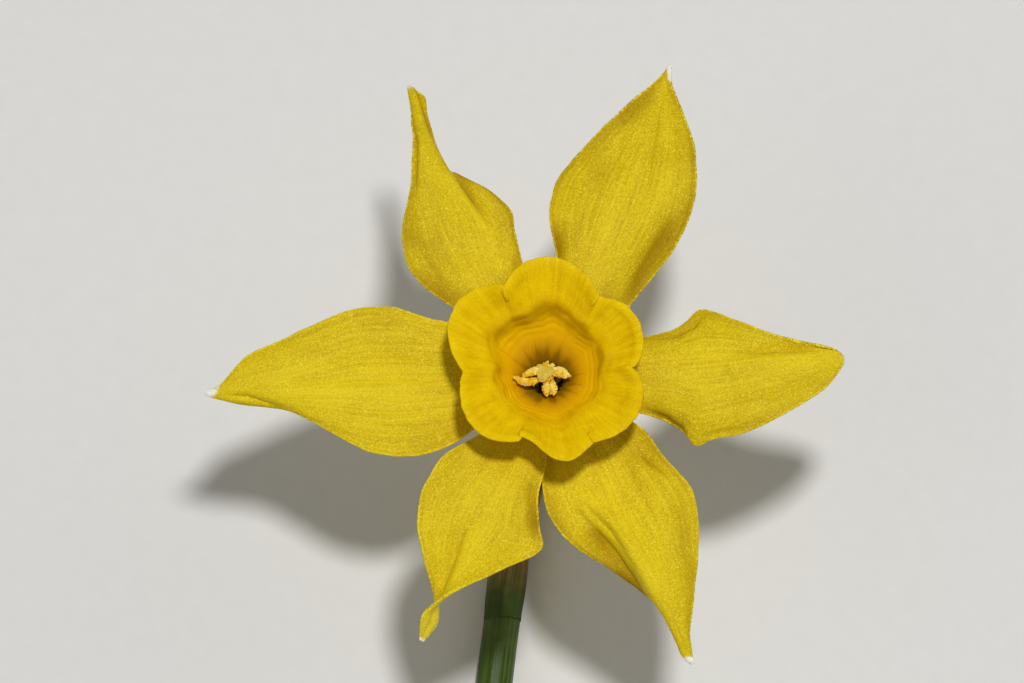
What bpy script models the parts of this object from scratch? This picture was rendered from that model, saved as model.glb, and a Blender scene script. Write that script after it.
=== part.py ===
"""A jonquil-type daffodil flower, picked and laid down.

The stem lies along the surface, the neck turns up from it, and the flower faces straight up.
Lengths below are millimetres and angles are degrees. While the flower is built, its own axis is
the Z axis and the surface that it lies on is z = 0; the finished flower is then moved sideways
so that the middle of its bounding box stands over the origin.
"""

import math

import bmesh
import bpy
from mathutils import Vector

MM = 0.001
MERGE = 1e-6  # metres: far under the smallest detail

# Levels along the flower's axis
PEDICEL_TOP = 4.6
OVARY_BASE, OVARY_TOP = 4.9, 9.4
TUBE_BASE, TUBE_MOUTH = 9.7, 19.2
OUTER_LEVEL = 19.6
INNER_LEVEL = 20.4
STIGMA_LEVEL = 21.6

# Wall thicknesses and radii
TEPAL_THICKNESS = 0.32
CORONA_WALL = 0.3
SPATHE_WALL = 0.16
TUBE_WALL = 0.4
STEM_RADIUS_TOP, STEM_RADIUS_CUT = 1.05, 1.2
PEDICEL_RADIUS = 0.66
STYLE_RADIUS = 0.2
FILAMENT_RADIUS = 0.11

# The stem: where it starts behind the flower, its length, and how its heading swings as it goes
STEM_START = (-2.35, -8.2)
STEM_LENGTH = 80.0
STEM_HEADING, STEM_SWING = -8.0, 24.0

# Each tepal by its stations from claw to tip, in its own frame: "along" is the distance from the
# flower's axis, "left", "rib" and "right" are places across it, and the three rises are heights
# over the level of its whorl.
TEPALS = {
    "outer_tepal_top": {
        "heading": 69.1,
        "level": OUTER_LEVEL,
        "along": (2.4, 4.5, 6.8, 9.0, 11.2, 13.5, 15.8, 17.8, 18.8, 19.6),
        "left": (0.9, 1.4, 2.0, 3.3, 3.6, 2.9, 1.9, 1.0, 0.35, 0.06),
        "rib": (0.0, -0.3, -0.6, -0.8, -0.9, -0.8, -0.6, -0.25, -0.1, 0.0),
        "right": (-1.0, -2.4, -3.1, -3.75, -4.2, -3.95, -2.95, -1.35, -0.4, -0.06),
        "left_rise": (0.0, 0.1, 0.3, 0.3, 0.2, 0.3, 0.4, 0.2, 0.0, 0.0),
        "rib_rise": (0.0, 0.0, 0.2, 0.5, 0.6, 0.4, 0.1, -0.1, -0.1, 0.0),
        "right_rise": (0.0, -0.1, -0.3, -0.1, 0.2, 0.5, 0.5, 0.3, 0.1, 0.0),
    },
    "inner_tepal_right": {
        "heading": 4.2,
        "level": INNER_LEVEL,
        "along": (2.4, 4.4, 6.3, 7.4, 8.1, 9.1, 11.0, 13.2, 15.4, 16.85),
        "left": (0.9, 1.7, 2.05, 2.35, 2.75, 3.5, 2.6, 1.5, 0.7, 0.2),
        "rib": (0.0, 0.0, 0.0, 0.0, 0.0, 0.0, 0.05, 0.1, 0.2, 0.12),
        "right": (-0.9, -2.2, -2.8, -3.45, -4.4, -4.2, -4.0, -3.15, -1.85, -0.02),
        "left_rise": (0.0, 0.0, -0.4, -0.6, -0.7, -0.9, -0.5, 0.1, 0.3, -0.3),
        "rib_rise": (0.0, 0.1, 0.1, 0.0, 0.0, -0.1, -0.2, -0.4, -0.5, -0.4),
        "right_rise": (0.0, -0.1, -0.7, -0.9, -1.0, -0.7, -0.3, 0.0, 0.1, -0.3),
    },
    "outer_tepal_bottom": {
        "heading": -63.7,
        "level": OUTER_LEVEL,
        "along": (2.4, 4.6, 7.0, 9.3, 11.3, 13.2, 15.0, 16.8, 17.6, 18.15),
        "left": (1.0, 3.4, 3.9, 4.4, 3.9, 2.9, 1.75, 0.6, 0.25, 0.1),
        "rib": (0.0, -0.2, -0.5, -0.7, -0.4, -0.1, -0.05, -0.1, -0.1, 0.0),
        "right": (-1.0, -2.6, -3.4, -2.95, -1.7, -0.5, 0.15, 0.0, -0.15, -0.02),
        "left_rise": (0.0, 0.0, 0.2, 0.3, 0.3, 0.3, 0.3, 0.1, 0.0, 0.0),
        "rib_rise": (0.0, 0.0, 0.1, 0.3, 0.6, 0.8, 0.7, 0.4, 0.1, 0.0),
        "right_rise": (0.0, 0.0, 0.0, -0.1, -0.3, -0.5, -0.6, -0.5, -0.2, 0.0),
    },
    "inner_tepal_bottom": {
        "heading": -114.1,
        "level": INNER_LEVEL,
        "along": (2.4, 4.6, 6.6, 8.2, 9.3, 11.2, 13.0, 14.4, 15.5, 16.85),
        "left": (0.9, 2.0, 2.4, 3.2, 3.75, 2.4, 0.95, -0.1, -0.72, -0.3),
        "rib": (0.0, -0.1, -0.3, -0.5, -0.55, -0.5, -0.35, -0.25, -0.27, -0.18),
        "right": (-0.9, -2.1, -3.45, -3.65, -3.65, -2.95, -1.6, -0.4, 0.2, -0.05),
        "left_rise": (0.0, 0.1, 0.2, 0.0, -0.2, 0.2, 0.6, 0.6, 0.2, 0.0),
        "rib_rise": (0.0, 0.1, 0.1, 0.0, -0.1, -0.1, 0.0, 0.0, 0.0, 0.0),
        "right_rise": (0.0, 0.0, 0.0, 0.0, 0.1, 0.3, 0.2, -0.5, -0.2, 0.0),
    },
    "outer_tepal_left": {
        "heading": 182.4,
        "level": OUTER_LEVEL,
        "along": (2.4, 4.6, 6.6, 8.6, 10.6, 12.6, 14.8, 17.0, 18.4, 19.25),
        "left": (1.0, 3.0, 4.0, 4.2, 3.65, 2.4, 1.0, 0.55, 0.3, 0.05),
        "rib": (0.0, 0.0, 0.0, 0.0, -0.1, 0.0, 0.1, 0.15, 0.1, 0.0),
        "right": (-1.0, -3.2, -3.85, -4.5, -4.5, -3.85, -2.9, -1.95, -0.5, -0.05),
        "left_rise": (0.0, 0.0, 0.2, 0.3, 0.2, 0.0, -0.3, -0.45, -0.2, 0.1),
        "rib_rise": (0.0, 0.0, 0.0, 0.1, 0.2, 0.3, 0.3, 0.2, 0.1, 0.1),
        "right_rise": (0.0, 0.1, 0.2, 0.4, 0.5, 0.5, 0.4, 0.3, 0.2, 0.1),
    },
    "inner_tepal_top": {
        "heading": 114.8,
        "level": INNER_LEVEL,
        "along": (2.4, 4.6, 6.6, 8.4, 9.8, 11.4, 13.2, 15.2, 16.8, 17.8, 18.8),
        "left": (0.9, 2.2, 3.6, 4.35, 4.4, 3.75, 2.5, 1.35, 0.75, 0.4, 0.05),
        "rib": (0.0, 0.1, 0.2, 0.0, -0.1, 0.0, 0.35, 0.45, 0.2, 0.0, 0.0),
        "right": (-0.9, -1.5, -1.55, -1.9, -2.2, -1.25, 0.25, 0.5, 0.1, -0.4, -0.05),
        "left_rise": (0.0, 0.0, 0.0, 0.0, 0.1, 0.2, 0.4, 0.6, 0.55, 0.4, 0.2),
        "rib_rise": (0.0, 0.1, 0.1, 0.1, 0.3, 0.5, 0.6, 0.6, 0.5, 0.3, 0.2),
        "right_rise": (0.0, 0.0, -0.3, -0.1, 0.0, 0.0, -0.2, -0.3, -0.1, 0.1, 0.2),
    },
}
TEPAL_ROWS, TEPAL_COLUMNS = 18, 6

# The corona's middle surface from its neck to its rim, as (radius, height), and its lobes, each
# as (angle of its first notch, radius at that notch, reach of the lobe)
CORONA_PROFILE = (
    (1.8, 19.5),
    (1.85, 20.4),
    (2.25, 21.05),
    (2.7, 21.7),
    (3.15, 22.3),
    (3.9, 22.95),
    (4.8, 23.65),
    (5.6, 24.3),
)
CORONA_LOBES = (
    (-5.6, 4.7, 5.7),
    (52.5, 4.3, 5.9),
    (121.6, 4.4, 5.9),
    (188.5, 4.7, 5.55),
    (250.6, 4.8, 6.0),
    (297.2, 5.35, 5.9),
)
CORONA_STEPS = 60

# Stamens: the upper three spread their anthers round the stigma, the lower three stand in the tube
UPPER_ANTHERS = {
    "left": ((-0.55, -0.22, 21.35), (-1.1, -0.3, 21.45), (-1.75, -0.3, 21.2)),
    "right": ((0.5, 0.2, 21.3), (0.95, 0.0, 21.35), (1.4, -0.35, 21.1)),
    "bottom": ((0.1, -0.62, 21.3), (0.12, -0.95, 21.1), (0.15, -1.15, 20.6)),
}
LOWER_ANTHER_ANGLES = {"back": 60.0, "side": 180.0, "front": 300.0}
LOWER_ANTHER_RANGE = (15.6, 17.8)
ANTHER_RADIUS = 0.3

SPATHE_LENGTH = 12.2


def vector(x, y, z):
    """A point given in millimetres, in metres."""
    return Vector((x, y, z)) * MM


def through(values, share):
    """The value at a share, 0 to 1, of the way along a smooth curve through evenly spaced values."""
    place = share * (len(values) - 1)
    i = min(int(place), len(values) - 2)
    u = place - i
    before, start = values[max(i - 1, 0)], values[i]
    end, after = values[i + 1], values[min(i + 2, len(values) - 1)]
    slope_in, slope_out = (end - before) / 2, (after - start) / 2
    return (
        start * (1 - 3 * u * u + 2 * u**3)
        + end * (3 * u * u - 2 * u**3)
        + slope_in * (u - 2 * u * u + u**3)
        + slope_out * (u**3 - u * u)
    )


def clear_scene():
    for obj in list(bpy.data.objects):
        bpy.data.objects.remove(obj)


def material(name, colour, roughness=0.5):
    found = bpy.data.materials.new(name)
    found.use_nodes = True
    shader = found.node_tree.nodes["Principled BSDF"]
    shader.inputs["Base Color"].default_value = (*colour, 1.0)
    shader.inputs["Roughness"].default_value = roughness
    return found


def add_object(name, data, finish):
    obj = bpy.data.objects.new(name, data)
    obj.data.materials.append(finish)
    collection.objects.link(obj)
    obj.parent = flower
    return obj


def add_mesh(name, bm, finish):
    bmesh.ops.recalc_face_normals(bm, faces=bm.faces)
    mesh = bpy.data.meshes.new(name)
    bm.to_mesh(mesh)
    bm.free()
    mesh.shade_smooth()
    return add_object(name, mesh, finish)


def thicken(obj, thickness):
    """Gives an open surface a wall, half of it on each side."""
    solidify = obj.modifiers.new("Wall", "SOLIDIFY")
    solidify.thickness = thickness * MM
    solidify.offset = 0.0


def bent_grid(rows, columns, place):
    """A grid whose points are placed by a function of the share along it and the way across it."""
    bm = bmesh.new()
    bmesh.ops.create_grid(bm, x_segments=rows, y_segments=columns, size=1.0)
    for vert in bm.verts:
        vert.co = place((vert.co.x + 1) / 2, vert.co.y)
    return bm


def tepal_point(shape, share, across):
    """A point of a tepal: across is -1 at its right edge, 0 at its rib and 1 at its left edge."""
    along, left, rib, right, left_rise, rib_rise, right_rise = (
        through(shape[key], share)
        for key in ("along", "left", "rib", "right", "left_rise", "rib_rise", "right_rise")
    )
    bow = across * across
    lean = (left - right) / 2
    aside = rib + across * lean + bow * ((left + right) / 2 - rib)
    rise = rib_rise + across * (left_rise - right_rise) / 2
    rise += bow * ((left_rise + right_rise) / 2 - rib_rise)
    turn = math.radians(shape["heading"])
    return vector(
        along * math.cos(turn) - aside * math.sin(turn),
        along * math.sin(turn) + aside * math.cos(turn),
        shape["level"] + rise,
    )


def make_tepals(finish):
    for name, shape in TEPALS.items():
        bm = bent_grid(TEPAL_ROWS, TEPAL_COLUMNS, lambda s, t, shape=shape: tepal_point(shape, s, t))
        thicken(add_mesh(name, bm, finish), TEPAL_THICKNESS)


def corona_rim(angle):
    """The corona's radius at its rim, which falls to a notch between each two lobes."""
    for i, (start, notch, reach) in enumerate(CORONA_LOBES):
        end, next_notch = CORONA_LOBES[(i + 1) % len(CORONA_LOBES)][:2]
        span = (end - start) % 360
        share = ((angle - start) % 360) / span
        if share <= 1:
            valley = notch + (next_notch - notch) * share
            return valley + (reach - valley) * math.sin(math.pi * share) ** 0.55
    raise ValueError("the lobes leave a gap")


def make_corona(finish):
    bm = bmesh.new()
    chain = [bm.verts.new(vector(radius, 0, height)) for radius, height in CORONA_PROFILE]
    edges = [bm.edges.new(pair) for pair in zip(chain, chain[1:])]
    bmesh.ops.spin(
        bm,
        geom=chain + edges,
        cent=(0, 0, 0),
        axis=(0, 0, 1),
        angle=math.tau,
        steps=CORONA_STEPS,
        use_merge=True,
    )
    bmesh.ops.remove_doubles(bm, verts=bm.verts, dist=MERGE)
    neck, rim = CORONA_PROFILE[1][0] * MM, CORONA_PROFILE[-1][0] * MM
    for vert in bm.verts:
        radius = math.hypot(vert.co.x, vert.co.y)
        share = max(0.0, (radius - neck) / (rim - neck))
        angle = math.degrees(math.atan2(vert.co.y, vert.co.x))
        stretch = 1 + share**2 * (corona_rim(angle) * MM / rim - 1)
        vert.co.x *= stretch
        vert.co.y *= stretch
    thicken(add_mesh("corona", bm, finish), CORONA_WALL)


def turned(name, profile, finish, steps=24, closed=True):
    """A solid of revolution, from (radius, height) points that run down its outer side."""
    bm = bmesh.new()
    verts = [bm.verts.new(vector(radius, 0, height)) for radius, height in profile]
    for pair in zip(verts, verts[1:]):
        bm.edges.new(pair)
    if closed:
        bm.edges.new((verts[-1], verts[0]))
    mesh = bpy.data.meshes.new(name)
    bm.to_mesh(mesh)
    bm.free()
    obj = add_object(name, mesh, finish)
    screw = obj.modifiers.new("Turn", "SCREW")
    screw.steps = screw.render_steps = steps
    screw.use_merge_vertices = True
    screw.merge_threshold = MERGE
    return obj


def make_tube(finish):
    """The perianth tube: narrow on the ovary, widening to the throat that the corona stands on."""
    inner = ((0.45, TUBE_BASE), (0.8, 11.5), (1.0, 14.0), (1.22, 17.0), (1.58, TUBE_MOUTH))
    outer = [(radius + TUBE_WALL, height) for radius, height in inner]
    turned("flower_tube", list(inner) + outer[::-1], finish)


def make_ovary(finish):
    middle, half = (OVARY_BASE + OVARY_TOP) / 2, (OVARY_TOP - OVARY_BASE) / 2
    bm = bmesh.new()
    bmesh.ops.create_uvsphere(bm, u_segments=24, v_segments=12, radius=1.0)
    for vert in bm.verts:
        lobe = 1 + 0.07 * math.cos(3 * math.atan2(vert.co.y, vert.co.x))
        fullness = 1.5 - 0.12 * vert.co.z
        vert.co = vector(
            vert.co.x * lobe * fullness, vert.co.y * lobe * fullness, middle + vert.co.z * half
        )
    add_mesh("ovary", bm, finish)


def rod(name, points, radii, finish, sides=2):
    """A round rod along points, with a radius at each."""
    curve = bpy.data.curves.new(name, "CURVE")
    curve.dimensions = "3D"
    curve.bevel_depth = MM
    curve.bevel_resolution = sides
    curve.use_fill_caps = True
    curve.twist_mode = "MINIMUM"
    spline = curve.splines.new("POLY")
    spline.points.add(len(points) - 1)
    for point, place, radius in zip(spline.points, points, radii):
        point.co = (*vector(*place), 1.0)
        point.radius = radius
    return add_object(name, curve, finish)


def smooth_route(points, count):
    """Count places along a smooth curve through the points."""
    columns = list(zip(*points))
    return [tuple(through(column, i / (count - 1)) for column in columns) for i in range(count)]


def stem_route(count=28):
    """The stem's middle line: it lies on the surface and swings gently to one side and back."""
    x, y = STEM_START
    step = STEM_LENGTH / (count - 1)
    route = []
    for i in range(count):
        share = i / (count - 1)
        radius = STEM_RADIUS_TOP + (STEM_RADIUS_CUT - STEM_RADIUS_TOP) * share
        route.append((x, y, radius))
        heading = math.radians(STEM_HEADING + STEM_SWING * (share + 0.5 / (count - 1)))
        x += step * math.sin(heading)
        y -= step * math.cos(heading)
    return route


def make_stem(finish):
    route = stem_route()
    rod("stem", route, [radius for _, _, radius in route], finish)


def make_pedicel(finish):
    """The flower's own stalk, from the top of the stem up to the ovary."""
    x, y = STEM_START
    route = smooth_route(
        (
            (x + 0.03, y + 0.35, 1.0),
            (-2.15, -5.6, 0.95),
            (-1.7, -3.3, 1.1),
            (-0.95, -1.5, 1.8),
            (-0.2, -0.35, 3.2),
            (0.0, 0.0, PEDICEL_TOP),
        ),
        16,
    )
    swell = [PEDICEL_RADIUS * (1 + 0.25 * (i / 15) ** 3) for i in range(16)]
    rod("pedicel", route, swell, finish)


def spathe_point(share, across):
    """The papery sheath: it wraps the foot of the pedicel and opens to a tongue on the surface."""
    x = through((-2.32, -2.1, -1.6, -0.9, 0.0, 1.1), share)
    y = STEM_START[1] + 0.3 + SPATHE_LENGTH * share
    half_turn = through((171.0, 166.0, 120.0, 80.0, 58.0, 50.0), share)
    radius = through((1.03, 1.06, 1.08, 1.05, 0.8, 0.3), share)
    angle = math.radians(-90 + half_turn * across)
    return vector(
        x + radius * math.cos(angle), y, SPATHE_WALL / 2 + 0.02 + radius * (1 + math.sin(angle))
    )


def make_spathe(finish):
    thicken(add_mesh("spathe", bent_grid(12, 12, spathe_point), finish), SPATHE_WALL)


def anther(name, points, finish):
    route = smooth_route(points, 7)
    swell = [ANTHER_RADIUS * (0.45 + 0.55 * math.sin(math.pi * i / 6) ** 0.7) for i in range(7)]
    rod(name, route, swell, finish, sides=1)


def make_stamens(anther_finish, filament_finish):
    for place, points in UPPER_ANTHERS.items():
        anther(f"anther_upper_{place}", points, anther_finish)
        x, y, z = points[1]
        out = Vector((x, y)).normalized()
        foot = (out.x * 1.35, out.y * 1.35, TUBE_MOUTH - 0.6)
        head = (x * 0.95, y * 0.95, z - ANTHER_RADIUS - 0.12)
        middle = ((foot[0] + head[0]) / 2, (foot[1] + head[1]) / 2, (foot[2] + head[2]) / 2)
        rod(
            f"filament_upper_{place}",
            smooth_route((foot, middle, head), 5),
            [FILAMENT_RADIUS] * 5,
            filament_finish,
            sides=1,
        )
    low, high = LOWER_ANTHER_RANGE
    for place, angle in LOWER_ANTHER_ANGLES.items():
        turn = math.radians(angle)
        x, y = 0.7 * math.cos(turn), 0.7 * math.sin(turn)
        anther(
            f"anther_lower_{place}",
            ((x, y, low), (x * 1.03, y * 1.03, (low + high) / 2), (x, y, high)),
            anther_finish,
        )
        rod(
            f"filament_lower_{place}",
            smooth_route(((x * 1.05, y * 1.05, low - 2.0), (x, y, low - 1), (x, y, low - 0.1)), 5),
            [FILAMENT_RADIUS] * 5,
            filament_finish,
            sides=1,
        )


def make_pistil(style_finish, stigma_finish):
    """The style stands on the ovary and carries a three-lobed stigma."""
    top = STIGMA_LEVEL - 0.35
    route = smooth_route(((0, 0, TUBE_BASE), (0, 0, 15.0), (-0.05, 0.05, top)), 8)
    rod("style", route, [STYLE_RADIUS] * 8, style_finish, sides=1)
    bm = bmesh.new()
    bmesh.ops.create_uvsphere(bm, u_segments=24, v_segments=8, radius=1.0)
    for vert in bm.verts:
        reach = 0.34 + 0.1 * math.cos(3 * math.atan2(vert.co.y, vert.co.x) + 0.6)
        vert.co = vector(
            vert.co.x * reach - 0.05, vert.co.y * reach + 0.05, STIGMA_LEVEL + 0.15 * vert.co.z
        )
    add_mesh("stigma", bm, stigma_finish)


def settle_over_origin():
    """Moves the flower so that its bounding box is centred over the origin and rests on z = 0."""
    bpy.context.view_layer.update()
    graph = bpy.context.evaluated_depsgraph_get()
    corners = []
    for obj in collection.objects:
        if obj.type != "EMPTY":
            evaluated = obj.evaluated_get(graph)
            mesh = evaluated.to_mesh()
            corners += [evaluated.matrix_world @ vert.co for vert in mesh.vertices]
            evaluated.to_mesh_clear()
    low = Vector([min(corner[axis] for corner in corners) for axis in range(3)])
    high = Vector([max(corner[axis] for corner in corners) for axis in range(3)])
    flower.location = (-(low.x + high.x) / 2, -(low.y + high.y) / 2, -low.z)


clear_scene()
collection = bpy.data.collections.new("daffodil_flower")
bpy.context.scene.collection.children.link(collection)
flower = bpy.data.objects.new("flower_frame", None)
collection.objects.link(flower)

tepal_yellow = material("tepal_yellow", (0.65, 0.47, 0.012), 0.45)
corona_gold = material("corona_gold", (0.73, 0.47, 0.002), 0.5)
tube_green_yellow = material("tube_green_yellow", (0.5, 0.45, 0.05), 0.45)
stem_green = material("stem_green", (0.1, 0.2, 0.02), 0.4)
papery_brown = material("papery_brown", (0.45, 0.3, 0.14), 0.6)
pollen_orange = material("pollen_orange", (0.85, 0.5, 0.06), 0.8)
pale_green = material("pale_green", (0.62, 0.56, 0.2), 0.35)

make_tepals(tepal_yellow)
make_corona(corona_gold)
make_tube(tube_green_yellow)
make_ovary(stem_green)
make_pedicel(stem_green)
make_spathe(papery_brown)
make_stem(stem_green)
make_stamens(pollen_orange, pale_green)
make_pistil(pale_green, pale_green)
settle_over_origin()
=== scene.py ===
"""A jonquil-type daffodil, picked and laid on a pale table with its flower facing up."""

import math
import random

import bpy
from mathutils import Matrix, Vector, noise


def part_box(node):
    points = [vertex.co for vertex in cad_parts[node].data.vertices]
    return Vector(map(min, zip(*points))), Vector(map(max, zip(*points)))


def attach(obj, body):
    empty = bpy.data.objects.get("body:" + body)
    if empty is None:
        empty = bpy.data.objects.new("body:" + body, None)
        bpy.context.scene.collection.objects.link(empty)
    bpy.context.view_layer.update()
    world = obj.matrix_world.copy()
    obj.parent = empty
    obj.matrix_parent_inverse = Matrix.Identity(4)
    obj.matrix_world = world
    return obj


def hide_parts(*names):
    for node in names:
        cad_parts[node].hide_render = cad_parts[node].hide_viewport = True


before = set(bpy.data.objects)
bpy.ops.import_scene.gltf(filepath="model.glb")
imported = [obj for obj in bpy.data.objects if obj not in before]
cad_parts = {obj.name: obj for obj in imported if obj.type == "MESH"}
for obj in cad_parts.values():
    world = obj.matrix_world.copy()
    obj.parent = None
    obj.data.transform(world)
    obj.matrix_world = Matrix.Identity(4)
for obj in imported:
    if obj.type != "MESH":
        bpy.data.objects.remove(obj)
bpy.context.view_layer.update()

MM = 0.001
MERGE = 1e-6  # metres: far under the smallest detail

# The flower's own axis, from the tube, which is round; heights are over the surface it lies on
tube_low, tube_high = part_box("flower_tube")
AXIS_X = (tube_low.x + tube_high.x) / 2
AXIS_Y = (tube_low.y + tube_high.y) / 2

# Levels along the flower's axis, in millimetres like every length below
PEDICEL_TOP = 4.6
OVARY_BASE, OVARY_TOP = 4.9, 9.4
TUBE_BASE, TUBE_MOUTH = 9.7, 19.2
OUTER_LEVEL, INNER_LEVEL = 19.6, 20.4
STIGMA_LEVEL = 21.6

TEPAL_THICKNESS = 0.26
TEPAL_EDGE = 0.35  # share of the thickness that is left at the margin
CORONA_WALL = 0.2
CORONA_EDGE = 0.4  # share of the wall that is left at the rim
SPATHE_WALL = 0.12
SPATHE_FOOT = 0.25  # share of the wall that is left at its foot
SPATHE_OVERLAP, SPATHE_LENGTH = 1.6, 13.8

STEM_START = (-2.35, -8.2)
STEM_LENGTH = 80.0
STEM_HEADING, STEM_SWING = -8.0, 24.0
STEM_RADIUS_TOP, STEM_RADIUS_CUT = 1.05, 1.2
STEM_STEPS, STEM_AROUND = 220, 96
PEDICEL_RADIUS = 0.66
OVARY_RADIUS = 1.5
# The tube's wall, outside and inside, as evenly spaced (radius, height)
TUBE_OUTER = ((0.66, 9.5), (1.0, 10.4), (1.2, 11.5), (1.4, 14.0), (1.62, 17.0), (2.3, 19.45))
TUBE_INNER = ((0.4, 9.5), (0.6, 10.4), (0.8, 11.5), (1.0, 14.0), (1.22, 17.0), (1.5, 19.2))
TUBE_AROUND, TUBE_STEPS = 96, 40

# The viewing angle: the flower is seen a little from its stem's side
VIEW_TILT = 15.0
VIEW_DISTANCE = 400.0
VIEW_WIDTH = 57.9
VIEW_AIM = (-1.98, 2.06)  # the middle of the view, right and up of the throat
THROAT_LEVEL = 20.0
SENSOR = 36.0

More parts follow.
